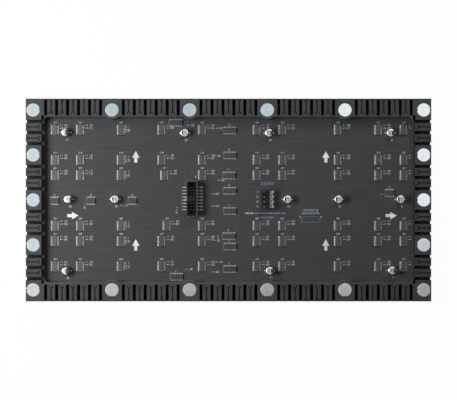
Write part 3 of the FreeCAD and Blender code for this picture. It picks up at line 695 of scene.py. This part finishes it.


# Capacitor cans: rounded rim, sunken top with its black segment, moulded base. Where the segment lies on the
# +X side, away from the light, the rim and wall beyond it take the same black as painted shadow

def capacitorCans():
    can = {"steps": 56, "rim": 0.7, "rimSteps": 5, "sink": 0.12, "seam": 0.12,
           "wall": ((0.25, 0), (0, 0.25), (0, 0.9), (0.18, 1.15), (0.18, 1.35), (0, 1.6)),  # Inset and height
           "wide": 0.02, "narrow": 0.38, "markLift": 0.006, "markIn": 0.14, "markSteps": 28,
           "wideBefore": -0.12, "middleRow": 0.02, "paintedShadowSleeve": 0.3, "paintedShadowSleeveNarrow": 0.66,
           "mirrored": (-0.1, -0.08), "label": ("22", "16"), "text": 1.15, "line": 1.5, "beside": 0.75}
    bases = solidsOf("capacitor_bases")
    canForm = emptyForm()
    for low, high, _ in solidsOf("capacitor_cans"):
        centre = (low + high) / 2
        radius, tall = (high.x - low.x) / 2, high.z - low.z
        rim, sink = can["rim"] * mm, can["sink"] * mm
        profile = [(0, 0)] + [(radius - inset * mm, height * mm) for inset, height in can["wall"]]
        for step in range(can["rimSteps"] + 1):
            angle = step / can["rimSteps"] * math.pi / 2
            profile.append((radius - rim + rim * math.cos(angle), tall - rim + rim * math.sin(angle)))
        profile += [(radius - rim - can["seam"] * mm, tall - sink), (0, tall - sink)]
        shell = lathe(profile, can["steps"])
        base = min(bases, key=lambda box: ((box[0] + box[1]) / 2 - centre).xy.length)
        dark = 1 if base[2].x < (base[0].x + base[1].x) / 2 else -1
        middleRow = abs(centre.y) < can["middleRow"]
        if middleRow and can["mirrored"][0] < centre.x < can["mirrored"][1]:
            dark = -1
        # On cans left of the wideBefore line and off the middle row, the black segment covers about half the
        # top
        wide = centre.x < can["wideBefore"] and not middleRow
        cut = can["paintedShadowSleeve"] if wide else can["paintedShadowSleeveNarrow"]
        shell["slots"] = []
        for index, face in enumerate(shell["faces"]):
            middle = sum((shell["points"][corner] for corner in face), Vector()) / len(face)
            ring = index // can["steps"]
            # Painted shadow: on the side away from the light, the rim and wall beyond the cut take the mark's
            # black
            paintedShadowSleeve = dark > 0 and ring >= len(can["wall"]) and middle.x > cut * radius
            shell["slots"].append(2 if paintedShadowSleeve else int(ring >= len(profile) - 2))
        place = Matrix.Translation((centre.x, centre.y, low.z))
        addForm(canForm, shell, place)
        level = tall - sink + can["markLift"] * mm
        inside = radius - rim - can["markIn"] * mm
        edge = math.acos(can["wide"] if wide else can["narrow"])
        turns = [edge * (2 * step / can["markSteps"] - 1) for step in range(can["markSteps"] + 1)]
        arc = [(dark * inside * math.cos(turn), inside * math.sin(turn), level) for turn in turns]
        segment = emptyForm()
        addFaces(segment, arc, [tuple(range(len(arc)))[::dark]], 2)
        addForm(canForm, segment, place)
        for line, label in enumerate(can["label"]):
            y = centre.y + (0.5 - line) * can["line"] * mm
            digits(canForm, label, centre.x - dark * can["beside"] * mm, y, can["text"] * mm,
                   slot=3, level=low.z + level)
    makePiece("capacitorCans", canForm, ["can", "canTop", "canMarkAndShadow", "canInk"],
              ["capacitor_cans"], smoothAngle=35)
    dressNode("capacitor_bases", "moulded", 0.12 * mm)
    dressNode("capacitor_tabs", "tin", 0.04 * mm)
    log("capacitor cans")


# Small two-ended parts: body, wrapped metal ends and solder fillets

def smallParts():
    part = {"end": 0.22, "step": 0.02, "bevel": 0.05, "fillet": 0.28, "filletWide": 0.85, "filletHigh": 0.75}
    kinds = (("resistors", "resistor", "resistor_body"), ("chip_capacitors", "ceramic", "capacitor_ceramic"))
    step, bevel, reach = (part[key] * mm for key in ("step", "bevel", "fillet"))
    for nodeName, finishName, cadSlot in kinds:
        form = emptyForm()
        for low, high, _ in solidsOf(nodeName):
            span = high - low
            across = span.x >= span.y
            length, width = (span.x, span.y) if across else (span.y, span.x)
            centre = (low + high) / 2
            end, half = part["end"] * length, width / 2
            small = emptyForm()
            addForm(small, bevelledBlock((-length / 2 + end, -half + step, 0),
                                         (length / 2 - end, half - step, span.z - step), step))
            for side in (-1, 1):
                ends = sorted((side * length / 2, side * (length / 2 - end)))
                addForm(small, bevelledBlock((ends[0], -half, 0), (ends[1], half, span.z), bevel, slot=1))
                inner, outer = side * (length / 2 - step), side * (length / 2 + reach)
                lift, top, wide = low.z - boardTop, span.z * part["filletHigh"], half * part["filletWide"]
                wedge = [(inner, -half, -lift), (outer, -half, -lift), (outer, half, -lift),
                         (inner, half, -lift), (inner, -wide, top), (inner, wide, top)]
                faces = [(0, 3, 2, 1), (0, 1, 4), (3, 5, 2), (1, 2, 5, 4), (0, 4, 5, 3)]
                addFaces(small, wedge, [face[::side] for face in faces], 2)
            addForm(form, small, turned(centre.x, centre.y, low.z, 0.0 if across else math.pi / 2))
        makePiece(nodeName.replace("_", "") + "Dressed", form, [finishName, "tin", "solder"],
                  [nodeName])
    log("small parts")


# Headers: the moulded bodies stay, the pins get pointed tips and bent tails

def pointedPin(side, bottom, top, tip, drawn):
    rings = ((side / 2, bottom), (side / 2, top - tip), (side / 2 * drawn, top))
    points = [(x * reach, y * reach, height) for reach, height in rings for x, y in corners]
    form = emptyForm()
    addFaces(form, points, [(0, 3, 2, 1), (8, 9, 10, 11), *squareWalls(0, 4), *squareWalls(4, 8)])
    return form


def headerPins(nodeName, pieceName, pin, finishNames):
    # The CAD solid of a pin gives its tail's end, and its tallest part stands at the other end
    post = {"tall": 3, "floor": 1.0, "drawn": 0.55}
    tail = {"level": 0.9, "knee": (1.25, 0.62), "ankle": (1.45, 0.3), "toe": (1.8, 0.17), "inside": 0.3,
            "thick": 0.3, "padFrom": 1.6, "padPast": 0.3, "padWide": 0.6, "padHigh": 0.05, "lean": 0.1}
    form = emptyForm()
    side, width, rise = pin["side"] * mm, pin["width"] * mm, pin["shoulder"]
    bends = ((0, rise), (tail["level"], rise), (tail["knee"][0], rise * tail["knee"][1]), tail["ankle"],
             tail["toe"])
    for low, high, mean in solidsOf(nodeName):
        height = high.z - boardTop
        tall = height > post["tall"] * mm
        leftTail = mean.x > (low.x + high.x) / 2 + tail["lean"] * mm
        inset = side / 2 if tall else 0.0
        x = high.x - inset if leftTail else low.x + inset
        reach = high.x - low.x - inset
        place = turned(x, (low.y + high.y) / 2, boardTop, math.pi if leftTail else 0.0)
        if tall:
            addForm(form, pointedPin(side, post["floor"] * mm, height, pin["tip"] * mm, post["drawn"]), place)
        wall = reach - pin["tail"] * mm if tall else -tail["inside"] * mm
        path = [(wall + along * mm, up * mm) for along, up in bends] + [(reach, tail["toe"][1] * mm)]
        addForm(form, bentBar(path, width, tail["thick"] * mm, 1), place)
        half = width * tail["padWide"]
        pad = bevelledBlock((wall + tail["padFrom"] * mm, -half, 0),
                            (reach + tail["padPast"] * mm, half, tail["padHigh"] * mm), 0, slot=2)
        addForm(form, pad, place)
    makePiece(pieceName, form, [*finishNames, "solder"], [nodeName])


def headers():
    dataPin = {"side": 0.64, "width": 0.5, "tip": 0.7, "tail": 3.9, "shoulder": 1.5}
    powerPin = {"side": 1.14, "width": 1.5, "tip": 1.0, "tail": 3.0, "shoulder": 1.4}
    dressNode("data_header_shroud", "shroud", 0.15 * mm)
    dressNode("power_header_body", "moulded", 0.15 * mm)
    headerPins("data_header_pins", "dataHeaderPins", dataPin, ["gold", "solder"])
    headerPins("power_header_pins", "powerHeaderPins", powerPin, ["tin", "tin"])
    dressNode("spare_header_pads", "padTin")
    log("headers")


# White print on the board: arrows, plain part numbers and outlines

def arrow(form, x, y, turn, slot):
    # A solid arrow that points along the turned +Y
    shape = {"width": 5.8, "head": 5.2, "stem": 2.4, "length": 9.0}
    half, stem, tip = shape["width"] / 2, shape["stem"] / 2, shape["length"] / 2
    neck = tip - shape["head"]
    outline = [(-stem, -tip), (stem, -tip), (stem, neck), (half, neck), (0, tip), (-half, neck),
               (-stem, neck)]
    cos, sin = math.cos(turn), math.sin(turn)
    points = [(x + (px * cos - py * sin) * mm, y + (px * sin + py * cos) * mm, printTop)
              for px, py in outline]
    addFaces(form, points, [(0, 1, 2, 6), (6, 2, 3, 4, 5)], slot)


def boardPrint():
    # Arrows have their place and quarter turns, numbers their place beside a part
    arrows = ((-73.6, 34.3, 0), (-73.6, -35.7, 0), (77.3, 34.3, 0), (77.3, -35.7, 0),
              (-123.5, -12.4, -1), (129.2, -12.4, -1))
    mark = {"number": 1.2, "line": 0.2, "driver": (0.4, 5.7), "small": (3.3, -3.1), "chip": (-0.6, 4.6),
            "chipLine": (-0.35, 3.0), "can": (1.1, -5.6), "canNumber": 1.44, "canEdge": 3.75,
            "canGap": 1.3, "canLine": 0.14}
    form = emptyForm()
    for x, y, quarter in arrows:
        arrow(form, x * mm, y * mm, quarter * math.pi / 2, 2)
    size = mark["number"] * mm

    def beside(centre, shift):
        return centre.x + shift[0] * mm, centre.y + shift[1] * mm

    number = 0
    for row in range(1, 7):
        for low, high, _ in solidsOf(f"driver_chips_row_{row}"):
            number += 1
            digits(form, f"{number:03d}", *beside((low + high) / 2, mark["driver"]), size)
    for nodeName, first in (("resistors", 101), ("chip_capacitors", 201)):
        for number, (low, high, _) in enumerate(solidsOf(nodeName), first):
            centre, span = (low + high) / 2, high - low
            if span.x > span.y:
                digits(form, str(number), *beside(centre, (mark["small"][0], 0)), size)
            else:
                digits(form, str(number), *beside(centre, (0, mark["small"][1])), size, math.pi / 2)
    for number, (low, high, _) in enumerate(solidsOf("buffer_chips") + solidsOf("row_switch_chips"), 1):
        centre = (low + high) / 2
        digits(form, str(number), *beside(centre, mark["chip"]), size)
        left, half = low.x + mark["chipLine"][0] * mm, mark["chipLine"][1] * mm
        stroke(form, (left, centre.y - half), (left, centre.y + half), mark["line"] * mm, 1)
    for number, (low, high, _) in enumerate(solidsOf("capacitor_cans"), 1):
        centre = (low + high) / 2
        digits(form, f"{number:02d}", *beside(centre, mark["can"]), mark["canNumber"] * mm)
        for side, edge in ((-1, -1), (-1, 1), (1, -1), (1, 1)):
            stroke(form, beside(centre, (side * mark["canEdge"], edge * mark["canEdge"])),
                   beside(centre, (side * mark["canEdge"], edge * mark["canGap"])), mark["canLine"] * mm, 1)
    makePiece("boardPrint", form, ["print", "dimPrint", "arrowPaint"])
    log("board print")


def headerPrint():
    # Lines, numbers and bars beside the headers and the empty connector place, in millimetres
    data = {"out": 0.45, "thin": 0.18, "wallIn": 0.5, "wallEnd": 0.4, "wall": 0.6, "wallLift": 0.004,
            "text": 1.5, "first": (-1.6, -1.6), "last": (-1.9, 3.6), "tickFrom": 0.75, "tickStep": 0.28,
            "tick": 0.22, "tickHalf": 1.5}
    power = {"pitch": 3.96, "pinText": 1.6, "pinLeft": 2.6, "rowText": 1.9, "rowFrom": 1.2, "rowStep": 2.1,
             "rowLift": 4.9, "bars": ((-12.2, -9.8), (-9.4, -8.4), (-7.8, -6.0)), "barLine": 0.26,
             "barSpread": 0.45, "below": 3.6, "dashes": (4.6, 4.4, 4.2, 4.4, 3.6), "dashFrom": 5.4,
             "dashIn": 0.3, "dashGap": 0.9, "dashSpread": 0.4, "lower": 7.0, "lowerFrom": 0.2,
             "lowerStep": 5.2, "lowerLong": 4.4}
    spare = {"out": 0.4, "top": 2.6, "bottom": 6.4, "bow": 0.9, "bowSteps": 16, "earOut": 0.9, "earHigh": 1.0,
             "ear": 0.5, "textFrom": 1.1, "textStep": 1.6, "lift": 1.7, "text": 1.5}
    form = emptyForm()
    thin = data["thin"] * mm
    low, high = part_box("data_header_shroud")
    out = data["out"] * mm
    stroke(form, (low.x, high.y + out), (high.x, high.y + out), thin, 1)
    stroke(form, (low.x, low.y - out), (high.x, low.y - out), thin, 1)
    # A lighter strip along the top of the shroud's right wall: a painted highlight
    wall, end = high.x - data["wallIn"] * mm, data["wallEnd"] * mm
    stroke(form, (wall, low.y + end), (wall, high.y - end), data["wall"] * mm, 2,
           high.z + data["wallLift"] * mm)
    first, last, tall = data["first"], data["last"], data["text"] * mm
    digits(form, "1", low.x + first[0] * mm, high.y + first[1] * mm, tall)
    digits(form, "16", high.x + last[0] * mm, high.y + last[1] * mm, tall, slot=1)
    middle, half = (low.y + high.y) / 2, data["tickHalf"] * mm
    for step in range(3):
        x = low.x - (data["tickFrom"] + data["tickStep"] * step) * mm
        stroke(form, (x, middle - half), (x, middle + half), data["tick"] * mm)

    low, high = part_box("power_header_body")
    for pin in range(4):
        y = (low.y + high.y) / 2 + (1.5 - pin) * power["pitch"] * mm
        digits(form, f"{pin + 1}{pin + 1}", low.x - power["pinLeft"] * mm, y, power["pinText"] * mm, slot=1)
    for step in range(5):
        x, y = low.x + (power["rowFrom"] + power["rowStep"] * step) * mm, high.y + power["rowLift"] * mm
        digits(form, "8" if step % 2 else "0", x, y, power["rowText"] * mm, slot=1)
    y = low.y - power["below"] * mm
    for start, end in power["bars"]:
        bars(form, low.x + start * mm, low.x + end * mm, y, power["barSpread"] * mm, power["barLine"] * mm)
    x, spread = low.x - power["dashFrom"] * mm, power["dashSpread"] * mm
    for length in power["dashes"]:
        bars(form, x + power["dashIn"] * mm, x + length * mm, y, spread, thin, 1)
        x += (length + power["dashGap"]) * mm
    for step in range(2):
        start = low.x + (power["lowerFrom"] + power["lowerStep"] * step) * mm
        bars(form, start, start + power["lowerLong"] * mm, low.y - power["lower"] * mm, spread, thin, 1)

    low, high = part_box("spare_header_pads")
    left, right = low.x - spare["out"] * mm, high.x + spare["out"] * mm
    top, bottom = low.y - spare["top"] * mm, low.y - spare["bottom"] * mm
    stroke(form, (left, bottom), (right, bottom), thin, 1)
    for x in (left, right):
        stroke(form, (x, bottom), (x, top), thin, 1)
    shares = [step / spare["bowSteps"] for step in range(spare["bowSteps"] + 1)]
    bow = [(left + (right - left) * share, top + spare["bow"] * mm * math.sin(math.pi * share))
           for share in shares]
    for start, end in zip(bow, bow[1:]):
        stroke(form, start, end, thin, 1)
    for x in (left - spare["earOut"] * mm, right + spare["earOut"] * mm):
        stroke(form, (x, top), (x, top + spare["earHigh"] * mm), spare["ear"] * mm)
    for step in range(8):
        x = low.x + (spare["textFrom"] + spare["textStep"] * step) * mm
        digits(form, str(step + 1), x, high.y + spare["lift"] * mm, spare["text"] * mm)
    makePiece("headerPrint", form, ["print", "dimPrint", "paintedShroudHighlight"])
    log("header print")


dressNode("rubber_frame", "rubber", 0.14 * mm)
dressNode("circuit_board", "board")
frameLip()
ledFace()
magnetDiscs()
allChips()
capacitorCans()
smallParts()
headers()
boardPrint()
headerPrint()


# Floor, lamps and camera

def studio():
    stage = {"floor": 4.0, "white": 0.9, "matt": 0.9, "glow": 0.97, "below": 0.2}
    lamps = {
        "keyLight": {"place": (-0.385, 0.02, 0.40), "size": (0.30, 0.20), "power": 2.8,
                     "target": (-0.06, 0, 0)},
        "topFill": {"place": (0.14, 0.28, 0.26), "size": (0.3, 0.15), "power": 0.42, "target": (0, 0, 0)},
    }
    mesh = bpy.data.meshes.new("floor")
    half = stage["floor"] / 2
    mesh.from_pydata([(x * half, y * half, 0) for x, y in corners], [], [(0, 1, 2, 3)])
    floor = bpy.data.objects.new("floor", mesh)
    floor.location.z = -stage["below"] * mm
    bpy.context.scene.collection.objects.link(floor)
    paper = newMaterial("whitePaper", grey(stage["white"]), stage["matt"])
    glow = addNode(paper, "ShaderNodeEmission")
    glow.inputs["Color"].default_value = (1, 1, 1, 1)
    rays = addNode(paper, "ShaderNodeLightPath")
    share = addNode(paper, "ShaderNodeMath", operation="MULTIPLY")
    share.inputs[1].default_value = stage["glow"]
    wire(paper, rays, "Is Camera Ray", share, 0)
    mix = addNode(paper, "ShaderNodeMixShader")
    wire(paper, share, "Value", mix, "Fac")
    wire(paper, shaderOf(paper), "BSDF", mix, 1)
    wire(paper, glow, "Emission", mix, 2)
    wire(paper, mix, "Shader", paper.node_tree.nodes["Material Output"], "Surface")
    mesh.materials.append(paper)

    for name, wanted in lamps.items():
        lamp = bpy.data.lights.new(name, "AREA")
        lamp.shape = "RECTANGLE"
        lamp.size, lamp.size_y = wanted["size"]
        lamp.energy = wanted["power"]
        light = bpy.data.objects.new(name, lamp)
        light.location = wanted["place"]
        aim = Vector(wanted["target"]) - Vector(wanted["place"])
        light.rotation_euler = aim.to_track_quat("-Z", "Y").to_euler()
        bpy.context.scene.collection.objects.link(light)
    studioWorld()
    log("studio")


def studioWorld():
    # Dim light all round. Camera rays see white; metal sees a pale room, cooler and dimmer in places
    room = {"light": 0.03, "mirror": 1.1, "half": 0.14, "lean": -0.25, "low": (-0.065, 0.38),
            "level": (-0.03, 1.0), "near": (0.16, 1.0), "far": (0.9, 0.6), "tinted": (-0.03, 0),
            "plain": (-0.045, 1),
            "tints": ((0.2, (0.66, 0.76, 0.80)), (0.3, (0.48, 0.58, 0.62)), (0.57, (0.48, 0.58, 0.62)),
                      (0.7, (0.86, 0.90, 0.91)))}
    world = bpy.data.worlds.new("studioWorld")
    world.use_nodes = True
    bpy.context.scene.world = world
    tree = world.node_tree

    def make(kind, **settings):
        node = tree.nodes.new("ShaderNode" + kind)
        for key, setting in settings.items():
            setattr(node, key, setting)
        return node

    def join(fromNode, output, toNode, socket):
        tree.links.new(fromNode.outputs[output], toNode.inputs[socket])

    def spread(source, output, start, end):
        shift = make("MapRange")
        values = {"From Min": start[0], "From Max": end[0], "To Min": start[1], "To Max": end[1]}
        for socket, value in values.items():
            shift.inputs[socket].default_value = value
        join(source, output, shift, "Value")
        return shift

    base = tree.nodes["Background"]
    base.inputs["Color"].default_value = (1, 1, 1, 1)
    base.inputs["Strength"].default_value = room["light"]
    coords = make("TexCoord")
    parts = make("SeparateXYZ")
    join(coords, "Generated", parts, "Vector")
    tint = make("ValToRGB")
    setStops(tint, room["tints"])
    join(spread(parts, "X", (-room["half"], 0), (room["half"], 1)), "Result", tint, "Fac")
    lean = make("Math", operation="MULTIPLY_ADD")
    lean.inputs[1].default_value = room["lean"]
    join(parts, "X", lean, 0)
    join(parts, "Y", lean, 2)
    dim = make("Math", operation="MULTIPLY")
    join(spread(lean, "Value", room["low"], room["level"]), "Result", dim, 0)
    join(spread(parts, "X", room["near"], room["far"]), "Result", dim, 1)
    strength = make("Math", operation="MULTIPLY")
    strength.inputs[1].default_value = room["mirror"]
    join(dim, "Value", strength, 0)
    plain = make("RGBToBW")
    join(tint, "Color", plain, "Color")
    drained = make("Mix", data_type="RGBA")
    join(spread(parts, "Y", room["tinted"], room["plain"]), "Result", drained, "Factor")
    join(tint, "Color", drained, "A")
    join(plain, "Val", drained, "B")
    seen = make("Background")
    join(drained, "Result", seen, "Color")
    join(strength, "Value", seen, "Strength")
    rays = make("LightPath")
    gloss = make("Math", operation="MAXIMUM")
    join(rays, "Is Glossy Ray", gloss, 0)
    join(rays, "Is Transmission Ray", gloss, 1)
    mirror = make("MixShader")
    join(gloss, "Value", mirror, "Fac")
    join(base, "Background", mirror, 1)
    join(seen, "Background", mirror, 2)
    white = make("Background")
    white.inputs["Color"].default_value = (1, 1, 1, 1)
    view = make("MixShader")
    join(rays, "Is Camera Ray", view, "Fac")
    join(mirror, "Shader", view, 1)
    join(white, "Background", view, 2)
    join(view, "Shader", tree.nodes["World Output"], "Surface")


def camera():
    view = {"distance": 1.5, "width": 360.6, "sensor": 36.0, "farthest": 20}
    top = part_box("rubber_frame")[1].z
    data = bpy.data.cameras.new("photoCamera")
    data.sensor_width = view["sensor"]
    data.lens = view["sensor"] * view["distance"] / (view["width"] * mm)
    data.clip_end = view["farthest"]
    eye = bpy.data.objects.new("photoCamera", data)
    eye.location = (0, 0, top + view["distance"])
    bpy.context.scene.collection.objects.link(eye)
    bpy.context.scene.camera = eye
    bpy.context.scene.view_settings.view_transform = "Standard"


studio()
camera()
